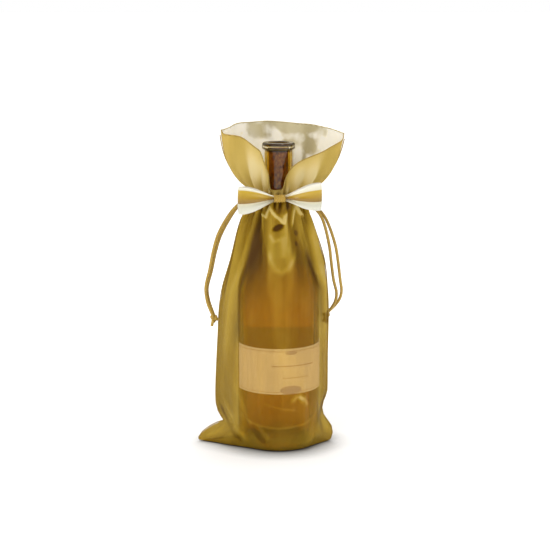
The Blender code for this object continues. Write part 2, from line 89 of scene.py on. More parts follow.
def surface(name, grid, uv=None, closed=False, **shades):
    """A mesh object from a grid of points, rows by columns, in metres. Each shade is a value
    per point that a material reads by name."""
    rows, columns = grid.shape[:2]
    wide = columns if closed else columns - 1
    faces = [
        (
            r * columns + c,
            r * columns + (c + 1) % columns,
            (r + 1) * columns + (c + 1) % columns,
            (r + 1) * columns + c,
        )
        for r in range(rows - 1)
        for c in range(wide)
    ]
    mesh = bpy.data.meshes.new(name)
    mesh.from_pydata(grid.reshape(-1, 3).tolist(), [], faces)
    if uv is not None:
        flat = uv.reshape(-1, 2)
        layer = mesh.uv_layers.new(name="flat")
        corner = np.zeros(len(mesh.loops), np.int32)
        mesh.loops.foreach_get("vertex_index", corner)
        layer.data.foreach_set("uv", flat[corner].astype(np.float32).ravel())
    for label, values in shades.items():
        layer = mesh.attributes.new(label, "FLOAT", "POINT")
        layer.data.foreach_set("value", values.astype(np.float32).ravel())
    mesh.shade_smooth()
    obj = bpy.data.objects.new(name, mesh)
    bpy.context.scene.collection.objects.link(obj)
    return obj


def add_route(curve, points):
    """Adds one open line through the points to a curve."""
    line = curve.splines.new("POLY")
    line.points.add(len(points) - 1)
    for target, point in zip(line.points, points):
        target.co = (*point, 1.0)


def tube(name, points, radius, finish, resolution=3):
    """A round cord along points, as a curve object."""
    curve = bpy.data.curves.new(name, "CURVE")
    curve.dimensions = "3D"
    curve.bevel_depth = radius
    curve.bevel_resolution = resolution
    curve.use_fill_caps = True
    add_route(curve, points)
    obj = bpy.data.objects.new(name, curve)
    bpy.context.scene.collection.objects.link(obj)
    curve.materials.append(finish)
    return obj


def solidify(obj, thickness, offset):
    """Gives a surface its thickness in metres: half to each side at offset 0, all to the side
    that its faces turn away from at offset -1."""
    shell = obj.modifiers.new("thickness", "SOLIDIFY")
    shell.thickness = thickness
    shell.offset = offset
    return shell


# ---------------------------------------------------------------- materials


class Nodes:
    """Short names for building a material's node tree."""

    def __init__(self, name):
        self.material = bpy.data.materials.new(name)
        self.material.use_nodes = True
        self.tree = self.material.node_tree
        self.shader = self.tree.nodes["Principled BSDF"]

    def add(self, kind, **values):
        made = self.tree.nodes.new(kind)
        for key, value in values.items():
            setattr(made, key, value)
        return made

    def link(self, start, end):
        self.tree.links.new(start, end)

    def math(self, operation, first, second=None, clamp=False):
        made = self.add("ShaderNodeMath", operation=operation, use_clamp=clamp)
        for socket, value in zip(made.inputs, (first, second)):
            if value is None:
                continue
            if isinstance(value, (int, float)):
                socket.default_value = value
            else:
                self.link(value, socket)
        return made.outputs[0]

    def ramp(self, value, stops):
        made = self.add("ShaderNodeValToRGB")
        elements = made.color_ramp.elements
        while len(elements) < len(stops):
            elements.new(0.5)
        for element, (place, colour) in zip(elements, stops):
            element.position = place
            element.color = (*colour, 1.0)
        self.link(value, made.inputs[0])
        return made.outputs[0]

    def noise(self, scale, detail, stretch=(1, 1, 1)):
        coordinates = self.add("ShaderNodeTexCoord")
        mapping = self.add("ShaderNodeMapping")
        mapping.inputs["Scale"].default_value = stretch
        texture = self.add("ShaderNodeTexNoise")
        texture.inputs["Scale"].default_value = scale
        texture.inputs["Detail"].default_value = detail
        self.link(coordinates.outputs["Object"], mapping.inputs[0])
        self.link(mapping.outputs[0], texture.inputs["Vector"])
        return texture.outputs["Fac"]

    def uv(self):
        """Where a point lies on the flat cloth."""
        coordinates = self.add("ShaderNodeTexCoord")
        split = self.add("ShaderNodeSeparateXYZ")
        self.link(coordinates.outputs["UV"], split.inputs[0])
        return split.outputs[0], split.outputs[1]

    def place(self):
        """Where a point lies in the object: x, y and z."""
        coordinates = self.add("ShaderNodeTexCoord")
        split = self.add("ShaderNodeSeparateXYZ")
        self.link(coordinates.outputs["Object"], split.inputs[0])
        return split.outputs

    def shade(self, label):
        """A value that the mesh carries at each point."""
        return self.add("ShaderNodeAttribute", attribute_name=label).outputs["Fac"]

    def blend(self, share, first, second, **values):
        """Blends a fixed second colour into the first one, as far as share says."""
        mix = self.add("ShaderNodeMix", data_type="RGBA", **values)
        self.link(share, mix.inputs["Factor"])
        self.link(first, mix.inputs["A"])
        mix.inputs["B"].default_value = (*second, 1.0)
        return mix.outputs["Result"]

    def map_range(self, value, start, end, low=0.0, high=1.0):
        """low where value is at start, high where it is at end, eased between."""
        made = self.add("ShaderNodeMapRange", interpolation_type="SMOOTHSTEP")
        self.link(value, made.inputs["Value"])
        made.inputs["From Min"].default_value = start
        made.inputs["From Max"].default_value = end
        made.inputs["To Min"].default_value = low
        made.inputs["To Max"].default_value = high
        return made.outputs["Result"]

    def bump(self, height, strength, distance):
        made = self.add("ShaderNodeBump")
        made.inputs["Strength"].default_value = strength
        made.inputs["Distance"].default_value = distance
        self.link(height, made.inputs["Height"])
        self.link(made.outputs[0], self.shader.inputs["Normal"])

    def thread(self, along, pitch):
        """0 in the gaps and 1 on the threads that cross this coordinate."""
        wave = self.math("SINE", self.math("MULTIPLY", along, math.tau / pitch))
        return self.math("ADD", self.math("MULTIPLY", wave, 0.5), 0.5)

    def set(self, **values):
        """Fixed values of the main shader, under short names."""
        names = {
            "colour": "Base Color",
            "roughness": "Roughness",
            "sheen": "Sheen Weight",
            "sheen_roughness": "Sheen Roughness",
            "sheen_tint": "Sheen Tint",
            "transmission": "Transmission Weight",
            "ior": "IOR",
            "specular": "Specular IOR Level",
            "anisotropy": "Anisotropic",
        }
        for key, value in values.items():
            if key in ("colour", "sheen_tint"):
                value = (*value, 1.0)
            self.shader.inputs[names[key]].default_value = value


WEAVE_PITCH = 0.00062
# How strongly the painted sheen glows, though the cloth is no lamp
PAINTED_SHEEN_GLOW = 0.16
BUNCHED_FROM, BUNCHED_TO = -0.15, -0.015  # how far below the tie the cloth bunches, on v
LEAST_COVER, MOST_COVER = 0.05, 0.97


def organza(name, shades, thin, thick, tint, roughness=0.4, glow=0.3, gather=0.0, painted_sheen_colour=None):
    """Sheer plain weave. shades are its colours in a valley, on the flat, on a ridge and where it
    gleams: painted shade in the valleys and painted highlights on the ridges, steered by the
    painted shade of the folds and the painted light and shade marks that the mesh carries, and
    mixed with the weave's own uneven tone. thin and thick are how much the gaps and the threads
    cover, tint is the colour of the light that passes between the fibres, glow is how much light
    comes through them, and gather is how much more the cloth covers where it is bunched at the
    tie, at v = 0. The last argument is the colour of the painted sheen: large near-white patches
    of painted highlight on lustrous areas, which also glow."""
    n = Nodes(name)
    u, v = n.uv()
    warp = n.thread(u, WEAVE_PITCH)
    weft = n.thread(v, WEAVE_PITCH)
    weave = n.math("MAXIMUM", warp, weft)
    slub = n.noise(260, 2.0, (1, 1, 0.12))
    drift = n.noise(38, 3.0, (1, 1, 0.4))
    # The mesh carries painted shade of its folds and painted light and shade marks; both steer the colour
    fold = n.shade("fold")
    painted_light_mark = n.shade("painted_light_mark")
    share = n.math("ADD", n.math("MULTIPLY", weave, 0.3), n.math("MULTIPLY", drift, 0.42))
    share = n.math("ADD", share, n.math("MULTIPLY", fold, 0.3))
    share = n.math("ADD", share, n.math("MULTIPLY", painted_light_mark, 0.45), clamp=True)
    # Painted shade in the valleys, painted highlights on the ridges and where it gleams
    valley, flat, crest, gleam = shades
    colour = n.ramp(share, [(0.0, valley), (0.45, flat), (0.82, crest), (1.0, gleam)])
    # Painted sheen: near-white patches of painted highlight, which also glow
    if painted_sheen_colour:
        painted_highlights = n.math("ADD", n.noise(62, 2.5), n.math("MULTIPLY", painted_light_mark, 0.42))
        painted_highlights = n.ramp(painted_highlights, [(0.52, (0, 0, 0)), (0.70, (1, 1, 1))])
        colour = n.blend(painted_highlights, colour, painted_sheen_colour)
        n.shader.inputs["Emission Color"].default_value = (*painted_sheen_colour, 1.0)
        n.link(n.math("MULTIPLY", painted_highlights, PAINTED_SHEEN_GLOW), n.shader.inputs["Emission Strength"])
    n.link(colour, n.shader.inputs["Base Color"])
    cover = n.math("ADD", n.math("MULTIPLY", weave, thick - thin), thin)
    cover = n.math("ADD", cover, n.math("MULTIPLY", n.math("SUBTRACT", slub, 0.5), 0.12))
    cover = n.math("ADD", cover, n.math("MULTIPLY", n.math("MINIMUM", fold, 0.0), -0.16))
    cover = n.math("ADD", cover, n.math("MULTIPLY", n.math("ABSOLUTE", painted_light_mark), 0.36))
    if gather:
        bunched = n.map_range(v, BUNCHED_FROM, BUNCHED_TO, high=gather)
        cover = n.math("ADD", cover, bunched)
    cover = n.math("MINIMUM", n.math("MAXIMUM", cover, LEAST_COVER), MOST_COVER)
    clear = n.add("ShaderNodeBsdfTransparent")
    clear.inputs["Color"].default_value = (*tint, 1.0)
    lit_through = n.add("ShaderNodeBsdfTranslucent")
    n.link(colour, lit_through.inputs["Color"])
    fibre = n.add("ShaderNodeMixShader")
    fibre.inputs[0].default_value = glow
    n.link(n.shader.outputs[0], fibre.inputs[1])
    n.link(lit_through.outputs[0], fibre.inputs[2])
    cloth = n.add("ShaderNodeMixShader")
    n.link(cover, cloth.inputs[0])
    n.link(clear.outputs[0], cloth.inputs[1])
    n.link(fibre.outputs[0], cloth.inputs[2])
    n.link(cloth.outputs[0], n.tree.nodes["Material Output"].inputs["Surface"])
    crumple = n.math("MULTIPLY", n.noise(95, 3.0, (1, 1, 0.7)), 7.0)
    n.bump(n.math("ADD", n.math("ADD", warp, weft), crumple), 0.5, 0.00015)
    n.set(roughness=roughness, sheen=0.06, sheen_roughness=0.35, sheen_tint=(1.0, 0.72, 0.22))
    n.set(specular=0.22)
    return n.material


def satin_cord(name, deep, light, pitch=0.0011):
    """A soft lustrous cord whose fine ribs run round it."""
    n = Nodes(name)
    place = n.place()
    lean = n.math("ADD", place[2], n.math("MULTIPLY", n.math("ADD", place[0], place[1]), 0.6))
    rib = n.thread(lean, pitch)
    drift = n.noise(90, 2.0)
    share = n.math("ADD", n.math("MULTIPLY", rib, 0.4), n.math("MULTIPLY", drift, 0.6))
    n.link(n.ramp(share, [(0.2, deep), (0.8, light)]), n.shader.inputs["Base Color"])
    n.bump(rib, 0.4, 0.00015)
    n.set(roughness=0.36, sheen=0.25, sheen_tint=(1.0, 0.85, 0.5), specular=0.5)
    return n.material


def sewing_thread(name, deep, light):
    """Matt thread whose stitches show as fine stripes."""
    n = Nodes(name)
    place = n.place()
    lean = n.math("ADD", place[2], n.math("ADD", place[0], place[1]))
    stitch = n.thread(lean, 0.0019)
    n.link(n.ramp(stitch, [(0.15, deep), (0.9, light)]), n.shader.inputs["Base Color"])
    n.bump(stitch, 0.6, 0.0003)
    n.set(roughness=0.55, sheen=0.2, specular=0.4)
    return n.material


def bow_satin(name):
    """Cream satin with a gold stripe: the stripe runs along the ribbon, on v from 0 to 1. Both its own
    colours are painted darker toward the lower edge and lighter toward the upper one, and darker in its
    creases: painted shade and painted light.
    """
    n = Nodes(name)
    u, v = n.uv()
    # The ribbon's own cream and gold, with painted shade low and painted light high on each
    colour = n.ramp(
        v,
        [
            (0.0, (0.74, 0.73, 0.62)), (0.22, (0.60, 0.59, 0.46)), (0.315, (0.66, 0.60, 0.40)),
            (0.33, (0.24, 0.125, 0.003)), (0.48, (0.42, 0.245, 0.008)), (0.69, (0.60, 0.40, 0.035)),
            (0.71, (0.80, 0.76, 0.56)), (1.0, (0.92, 0.90, 0.80)),
        ],
    )
    # Painted shade in the creases
    painted_crease_shade = n.math("MULTIPLY", n.math("MINIMUM", n.shade("fold"), 0.0), -1.0)
    colour = n.blend(painted_crease_shade, colour, (0.50, 0.36, 0.16), blend_type="MULTIPLY")
    n.link(colour, n.shader.inputs["Base Color"])
    rib = n.thread(u, 0.0006)
    slow = n.noise(120, 2.0, (1, 1, 5))
    n.bump(n.math("ADD", n.math("MULTIPLY", rib, 0.3), slow), 0.35, 0.0003)
    n.set(roughness=0.27, sheen=0.2, sheen_tint=(1.0, 0.95, 0.8), specular=0.6, anisotropy=0.4)
    return n.material


def glass(name, tint, ior, painted_lip_bands=None, specular=0.5):
    """Clear tinted glass, or any clear liquid. Its fourth argument gives the tints of its lip, by height in
    metres: the glass's own amber low down, then painted shade in dark lines and painted light in a bright
    band.
    """
    n = Nodes(name)
    n.set(colour=tint, roughness=0.0, transmission=1.0, ior=ior, specular=specular)
    if painted_lip_bands:
        low, high = painted_lip_bands[0][0], painted_lip_bands[-1][0]
        above = n.math("SUBTRACT", n.place()[2], low)
        share = n.math("MULTIPLY", above, 1 / (high - low), clamp=True)
        stops = [((z - low) / (high - low), shade) for z, shade in painted_lip_bands]
        n.link(n.ramp(share, stops), n.shader.inputs["Base Color"])
    return n.material


def cork_bark(name):
    """Dark flecked cork."""
    n = Nodes(name)
    speck = n.noise(420, 4.0, (1, 1, 0.6))
    stops = [(0.3, (0.05, 0.010, 0.0005)), (0.50, (0.30, 0.11, 0.010)), (0.76, (0.60, 0.32, 0.05))]
    n.link(n.ramp(speck, stops), n.shader.inputs["Base Color"])
    n.bump(speck, 0.7, 0.0006)
    n.set(roughness=0.85)
    return n.material


LABEL_RADIUS = 0.0407
LABEL_MIDDLE_SHIFT = 0.10  # radians from the label's middle to the middle of its print


def bands(n, at, lines):
    """1 on each line of the list of (middle, half width), and 0 off them."""
    ink = None
    for middle, half in lines:
        line = n.math("LESS_THAN", n.math("ABSOLUTE", n.math("SUBTRACT", at, middle)), half)
        ink = line if ink is None else n.math("MAXIMUM", ink, line)
    return ink


def paper(name, low, high, middle_deg, emblem):
    """Cream paper with thin border lines, from height low to high and round the bottle from
    middle_deg; with emblem it has two plain ovals and two rules as well."""
    n = Nodes(name)
    x, y, z = n.place()
    ink = bands(n, z, [(low + 0.0022, 0.00025), (high - 0.0022, 0.00025), (high - 0.0032, 0.00014)])
    if emblem:
        middle = math.radians(middle_deg) + LABEL_MIDDLE_SHIFT
        across = n.math("SUBTRACT", n.math("ARCTAN2", y, x), middle)
        across = n.math("MULTIPLY", across, LABEL_RADIUS)
        ovals = [(high - 0.0042, 0.0062, 0.0019), (low + 0.004, 0.011, 0.0042)]
        for centre_z, half_wide, half_high in ovals:
            wide = n.math("DIVIDE", across, half_wide)
            tall = n.math("DIVIDE", n.math("SUBTRACT", z, centre_z), half_high)
            reach = n.math("ADD", n.math("MULTIPLY", wide, wide), n.math("MULTIPLY", tall, tall))
            ink = n.math("MAXIMUM", ink, n.math("LESS_THAN", reach, 1.0))
        rules = [(0.0862, -0.019, 0.027, 0.0006), (0.0745, -0.009, 0.019, 0.00035)]
        for centre_z, start, end, half in rules:
            flat = bands(n, z, [(centre_z, half)])
            inside = bands(n, across, [((start + end) / 2, (end - start) / 2)])
            ink = n.math("MAXIMUM", ink, n.math("MULTIPLY", flat, inside))
    fibre = n.noise(700, 3.0)
    sheet = n.ramp(fibre, [(0.3, (0.88, 0.81, 0.86)), (0.7, (0.94, 0.88, 0.94))])
    n.link(n.blend(ink, sheet, (0.36, 0.20, 0.05)), n.shader.inputs["Base Color"])
    n.bump(fibre, 0.15, 0.0001)
    n.set(roughness=0.75)
    # Painted light: the paper glows a little, though it is no lamp
    n.shader.inputs["Emission Color"].default_value = (0.72, 0.64, 1.0, 1.0)
    n.shader.inputs["Emission Strength"].default_value = 0.40
    return n.material


body_cloth = organza(
    "organza_body",
    ((0.11, 0.046, 0.0005), (0.35, 0.198, 0.002), (0.66, 0.44, 0.04), (0.90, 0.71, 0.24)),
    thin=0.33,
    thick=0.61,
    tint=(1.0, 0.86, 0.42),
    gather=0.34,
)
# The same organza as the body, painted lighter for the collar's outside and lobes: painted light
lobe_cloth = organza(
    "organza_lobes",
    ((0.42, 0.28, 0.03), (0.74, 0.56, 0.14), (0.87, 0.71, 0.30), (0.91, 0.78, 0.41)),
    thin=0.60,
    thick=0.86,
    tint=(1.0, 0.88, 0.6),
)
# The back collar's inner face: the same organza painted much paler, as painted light and sheen
inner_cloth = organza(
    "organza_inside",
    ((0.50, 0.42, 0.22), (0.66, 0.60, 0.38), (0.84, 0.80, 0.62), (0.92, 0.90, 0.78)),
    thin=0.80,
    thick=0.96,
    tint=(1.0, 0.96, 0.85),
    roughness=0.16,
    glow=0.2,
    painted_sheen_colour=(1.0, 0.99, 0.93),
)
hem_thread = sewing_thread("hem_thread_look", (0.27, 0.16, 0.012), (0.56, 0.38, 0.06))
pale_thread = sewing_thread("pale_hem_look", (0.50, 0.40, 0.16), (0.84, 0.76, 0.50))
cord_satin = satin_cord("cord_satin_look", (0.30, 0.17, 0.012), (0.56, 0.36, 0.05))
band_satin = satin_cord("band_satin_look", (0.28, 0.15, 0.008), (0.54, 0.34, 0.035), 0.0008)
ribbon_satin = bow_satin("ribbon_satin_look")
AMBER = (0.78, 0.52, 0.035)
# The lip by height: the glass's amber, then painted shade in dark lines and painted light in a bright band
LIP_PAINTED_BANDS = [
    (0.288, AMBER), (0.2904, (0.60, 0.38, 0.03)), (0.2910, (0.10, 0.055, 0.004)),
    (0.2942, (0.10, 0.055, 0.004)), (0.2946, (0.90, 0.82, 0.60)), (0.2958, (0.90, 0.82, 0.60)),
    (0.2962, (0.08, 0.045, 0.004)), (0.2990, (0.10, 0.06, 0.006)),
]
bottle_amber = glass("bottle_amber_look", AMBER, 1.5, LIP_PAINTED_BANDS, specular=0.1)
wine_gold = glass("wine_gold_look", (0.88, 0.65, 0.10), 1.34)
cork_look = cork_bark("cork_look")


# ---------------------------------------------------------------- camera

SENSOR_MM = 36
LENS_MM = 100
CAMERA_ELEVATION_DEG = 11
CAMERA_DISTANCE = 1.498
CAMERA_AIM = Vector((-0.0034, 0, 0.1684))


def make_camera():
    data = bpy.data.cameras.new("camera")
    data.sensor_width = SENSOR_MM
    data.lens = LENS_MM
    data.clip_start = 0.05
    data.clip_end = 20
    camera = bpy.data.objects.new("camera", data)
    bpy.context.scene.collection.objects.link(camera)
    elevation = math.radians(CAMERA_ELEVATION_DEG)
    back = Vector((0, -math.cos(elevation), math.sin(elevation)))
    camera.location = CAMERA_AIM + back * CAMERA_DISTANCE
    camera.rotation_mode = "QUATERNION"
    camera.rotation_quaternion = (-back).to_track_quat("-Z", "Y")
    bpy.context.scene.camera = camera


# ---------------------------------------------------------------- draw loops

CORD_DIAMETER = 3.0
CORD_POINTS = 90
TAIL_POINTS = 14
# Each strand from the channel down to its knot.
STRANDS = {
    "left_front_strand": [
        (-23.4, -3, 244.8), (-26.5, -3.3, 244.7), (-32, -4, 243.2), (-41, -5, 237), (-49.5, -5.2, 226.5),
        (-58.5, -5.2, 210), (-63.6, -5, 193), (-67.4, -5.2, 174), (-70.4, -5.6, 162),
        (-71.2, -5.8, 153), (-69.4, -5.8, 141.5), (-65.4, -6, 131.2), (-64.3, -5.4, 128.4),
    ],
    "left_back_strand": [
        (-23.4, 3, 244.8), (-26.5, 3, 244.4), (-32, 2.8, 242), (-40.5, 2.2, 234.6), (-48, 1.4, 223.6),
        (-56.5, 0.4, 207.5), (-61.6, -0.4, 191), (-65.6, -1, 172.5), (-68.8, -1.6, 161),
        (-69.8, -2, 152.5), (-68, -2.2, 142), (-64.4, -2.4, 131.4), (-63.4, -3, 128.6),
    ],
    "right_front_strand": [
        (23.4, -3, 240.9), (26.5, -2.7, 240.4), (31, -2, 238), (37, -1, 232.8), (42, 0, 225.6),
        (46, 1, 214), (49.8, 2, 196.5), (51.8, 3.5, 180.5), (54.2, 6, 163), (57.3, 9.3, 149.5),
        (56.6, 11.8, 140.5), (53.5, 13.3, 133.8), (50, 14, 129), (48.6, 15, 127),
    ],
    "right_back_strand": [
        (23.4, 3, 240.9), (26.5, 3.1, 240.7), (31.5, 3.6, 239), (38.4, 4.4, 233.4), (45, 5, 225.6),
        (50.4, 5.4, 214), (55.9, 6, 196.5), (58.6, 6.8, 180.5), (60.8, 8.2, 163), (62.4, 10.8, 151),
        (61, 14, 142.4), (57, 16.6, 135.4), (51.6, 17.6, 129.6), (49.2, 17.4, 127.4),
    ],
}
KNOTS = {"left_knot": (-63.6, -4.2, 125.8), "right_knot": (47.6, 16.8, 124)}
KNOT_CORD_RADIUS = 1.45
KNOT_POINTS = 64
# A knot's two tails, from its middle.
TAILS = {
    "left_knot": [
        [(-0.6, 0, -0.5), (-1.2, -0.3, -4), (-2.0, -0.4, -7.6)],
        [(0.4, 0.6, 0), (3.0, 1.0, -1.2), (5.2, 1.2, -0.4)],
    ],
    "right_knot": [
        [(0.3, 0, -0.5), (0.8, 0.4, -4), (0.2, 0.8, -7.6)],
        [(-0.4, 0.3, 0), (-1.6, 0.8, -3.6), (-2.6, 1.0, -6.4)],
    ],
}


def tied_knot(name, centre, tails):
    """An overhand knot of the two cords, with its short tails."""
    turn = np.linspace(0, math.tau, KNOT_POINTS, endpoint=False)
    wide = np.sin(turn) + 1.6 * np.sin(2 * turn)
    deep = -np.sin(3 * turn) * 1.7
    high = (np.cos(turn) - 1.6 * np.cos(2 * turn)) * 1.25
    centre = np.array(centre)
    loop = centre + np.stack([wide, deep, high], axis=1)
    tangle = tube(name, loop * MM, KNOT_CORD_RADIUS * MM, cord_satin)
    tangle.data.splines[0].use_cyclic_u = True
    for ends in tails:
        add_route(tangle.data, spline([centre + np.array(p) for p in ends], TAIL_POINTS) * MM)
    return tangle


def make_cords():
    knots = {}
    for side in ("left", "right"):
        node = side + "_knot"
        knots[side] = tied_knot(node + "_tied", KNOTS[node], TAILS[node])
    for side, knot in knots.items():
        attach(knot, side + "_loop")
        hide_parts(side + "_knot")
    for name, route in STRANDS.items():
        side = name.split("_")[0]
        points = spline(route, CORD_POINTS) * MM
        line = tube(name + "_cord", points, CORD_DIAMETER / 2 * MM, cord_satin)
        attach(line, side + "_loop")
        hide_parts(name)


# ---------------------------------------------------------------- bag body

# How far each side seam stands from the middle, by height.
SEAM_LEFT = [
    (0, 78.6), (3, 78.8), (8.5, 75.2), (14.5, 67.2), (18, 60.4), (20.8, 53.4), (25, 56), (31, 59.2),
    (38, 61), (52, 61.4), (78, 60.4), (112, 58.6), (135, 57.4), (157, 54), (184, 46), (213, 39),
    (227, 34), (234, 29.5), (240, 26.5), (246, 25), (250, 19),
]
SEAM_RIGHT = [
    (0, 50.6), (3, 51.6), (8.5, 53), (14.5, 52), (20.8, 47.8), (27, 43.8), (34, 42.4), (41, 43.8),
    (46, 45.8), (52, 47.4), (90, 47.6), (112, 48), (135, 48.2), (157, 47), (184, 44),
    (213, 35), (227, 30), (234, 27.5), (240, 26), (246, 25), (250, 19),
]
CLOTH_RADIUS = [  # of the smooth cloth round the bottle, by height
    (0, 37), (4, 40), (10, 41.8), (150, 41.8), (162, 41), (180, 37), (198, 32), (213, 27.8),
    (227, 24.6), (234, 23.4), (240, 23.4), (246, 22.6), (250, 17.4),
]
INSIDE_RADIUS = [  # the bottle, and the cord in its channel above 238 mm
    (0, 34), (4, 38), (11, 40.8), (151, 40.8), (163, 39.2), (179, 33), (196, 23.5), (209, 18),
    (223, 15.8), (235, 15), (238.4, 20.8), (246.6, 20.8), (249.5, 15), (255, 14.2),
]
SEAM_BLUR = 0.006
RADIUS_BLUR = 0.012
LEAST_SEAM_REACH = 0.6  # how far a seam stands outside the cloth round the bottle, at least
SEAM_COVER = 0.8  # how far the cloth's edge goes past the seam's line
CLEARANCE = 0.7  # kept between the cloth and what is inside it
COLUMNS = 161
FLAT_WIDTH = 165
TIE_Z = 250
WALL_LOW_Z = 10
BEND_TOP_Z, BEND_LOW_Z = 8.8, 0.8
UNDER_Z = 0.5
WALL_ROWS = 181
BEND_ROWS = 7
UNDER_ROWS = 12
FADE_Z = 9  # the folds fade out from here down
EDGE_SHARE = 0.07  # of a panel's width, over which its folds fade towards a seam
# Folds across one panel's width: the pleats at the tie, the longer ones that fan out from
# them, and the broad slow ones.
TIGHT_PLEATS = 11
FAN_FOLDS = 5.5
BROAD_FOLDS = 2.2
PLEAT_DEPTH = 2.6
FAN_DEPTH = 2.6
# Small ripples: their number across a panel, their lean per millimetre of height, their depth.
RIPPLES = ((7.3, 0.031, 0.5), (13.1, -0.022, 0.3), (3.7, 0.045, 0.7))
DRAPE_X = 2  # the middle of the calm drape under the bow
# Below the bow the drape gets painted light, down to its hanging edge
DRAPE_LOW = (3.5, 176)  # the lowest point of its hanging edge
DRAPE_CURVE = 0.085
# The pocket is a dent that is also darkened with painted shade
POCKET = ((-0.3, 219.5), 5.6, 2.6, 24)  # the dark pocket in it: middle, half sizes, lean
# Dark spots of painted shade: the same, and how dark each is painted.
FRONT_SHADE_SPOTS = [
    ((18, 213.5), 1.4, 2.6, 14, -0.6), ((18.6, 203.5), 1.4, 2.6, 14, -0.6), ((3, 240), 9, 7, 0, -0.55),
]


def section(radius, left, right, columns):
    """Half of one level of the bag, from the left seam round the front to the right one: points
    and the directions that point out of the cloth."""
    left = max(left, radius + LEAST_SEAM_REACH)
    right = max(right, radius + LEAST_SEAM_REACH)
    left_angle = math.acos(radius / left)
    right_angle = math.acos(radius / right)
    left_run = math.sqrt(left**2 - radius**2)
    right_run = math.sqrt(right**2 - radius**2)
    arc = radius * (math.pi - left_angle - right_angle)
    total = left_run + arc + right_run
    at = np.linspace(0, total, columns)
    angle = math.pi - left_angle - np.clip(at - left_run, 0, arc) / radius
    out = np.stack([np.cos(angle), np.sin(angle)], axis=1)
    points = out * radius
    along_left = np.array([math.sin(left_angle), math.cos(left_angle)])
    along_right = np.array([math.sin(right_angle), -math.cos(right_angle)])
    before = at < left_run
    after = at > left_run + arc
    points[before] = np.array([-left, 0]) + at[before, None] * along_left
    points[after] = np.array([right, 0]) - (total - at[after, None]) * along_right
    return points, out


def stroke(x, z, points, width):
    """1 on the line through the points, falling off smoothly to either side and at both ends."""
    near = np.full(np.shape(x), 1e9)
    share_of = np.zeros(np.shape(x))
    steps = [math.dist(p, q) for p, q in zip(points, points[1:])]
    passed = 0.0
    for (ax, az), (bx, bz), step in zip(points, points[1:], steps):
        share = np.clip(((x - ax) * (bx - ax) + (z - az) * (bz - az)) / step**2, 0, 1)
        away = np.hypot(x - ax - share * (bx - ax), z - az - share * (bz - az))
        share_of = np.where(away < near, (passed + share * step) / sum(steps), share_of)
        near = np.minimum(near, away)
        passed += step
    ends = smooth(np.minimum(share_of, 1 - share_of), -0.06, 0.16)
    return ends * np.exp(-((near / width) ** 2))


def spot(x, z, centre, wide, high, lean_deg):
    """1 inside a leaning oval, falling off at its edge."""
    turn = math.radians(lean_deg)
    dx, dz = x - centre[0], z - centre[1]
    along = dx * math.cos(turn) + dz * math.sin(turn)
    across = -dx * math.sin(turn) + dz * math.cos(turn)
    return smooth(np.hypot(along / wide, across / high), 1.25, 0.75)


# Each crease of the front panel: its line in x and z, its width, how far it stands out of the
# cloth, and how light (above 0) or dark (below 0) it is painted: painted light and shade.
FRONT_CREASES = [
    ([(-17.5, 233), (-12, 229.3), (-8.4, 239.5), (-3, 231), (4.6, 224.6), (8.4, 236)], 1.6, 2.6, 1.0),
    ([(13.6, 219), (15.2, 240), (19, 232.5), (24.5, 228)], 1.5, 2.4, 0.95),
    ([(-10, 200), (-7.5, 189), (-3, 181), (3.5, 178), (9.5, 181.5), (14.5, 189), (19, 198)], 2.6, 1.2, 0.24),
    ([(-15.5, 234), (-16.2, 192)], 1.2, 0.7, 0.35),
    ([(3, 213), (5, 190)], 3.4, 0.8, 0.2),
    ([(-8, 214), (-4, 207), (2, 209)], 1.8, 0.8, 0.2),
    ([(10, 228), (8.5, 200)], 1.0, -0.4, -0.12),
    ([(-25, 236), (-32, 200), (-45, 152), (-53, 80)], 3.4, 1.8, 0.36),
    ([(27, 224), (35, 188), (43, 160), (47, 90)], 3.4, 1.8, 0.38),
    ([(-19.5, 230), (-26, 197), (-37, 160), (-41, 100)], 2.6, -1.6, -0.68),
    ([(27, 197), (33, 179), (41.5, 156), (42.5, 120)], 1.9, -1.2, -0.6),
    ([(-31, 240), (-40, 198), (-53, 150)], 1.7, -0.8, -0.45),
    ([(-19, 212), (-27, 182), (-29, 140)], 6.0, -0.6, -0.36),
    ([(-22, 180), (-27, 150), (-26, 122)], 3.2, 0.5, 0.2),
    ([(-59, 40), (-50, 21), (-36, 6)], 1.4, -1.3, -0.6),
    ([(-54, 46), (-45, 27), (-31, 8)], 2.4, 1.4, 0.35),
    ([(-51, 20), (-62, 11), (-73, 5)], 1.8, 1.0, 0.3),
    ([(-46, 16), (-58, 6), (-70, 2.5)], 1.6, -0.8, -0.3),
    ([(-28, 25), (-13, 8)], 2.1, -1.5, -0.7),
    ([(-22, 28), (-8, 12)], 2.0, 1.0, 0.2),
    ([(-42, 64), (-31, 34), (-22, 14)], 2.4, 1.2, 0.2),
    ([(47, 50), (40, 28), (45, 9)], 1.6, -1.2, -0.65),
    ([(51, 42), (44, 24), (50, 12)], 2.0, 1.2, 0.4),
    ([(-37, 33), (-22, 26.5), (0, 24), (22, 26.5), (37, 33)], 1.1, 0.3, 0.3),
    ([(-9, 30), (5, 31.5), (20, 29)], 0.9, 0.3, -0.3),
    ([(12, 50), (17, 55.5), (24, 53), (28, 44)], 2.0, 0.7, 0.65),
    ([(20, 59), (22.5, 48)], 1.7, 0.5, 0.45),
    ([(-14, 49), (2, 44), (18, 42)], 1.4, 0.4, 0.22),
]


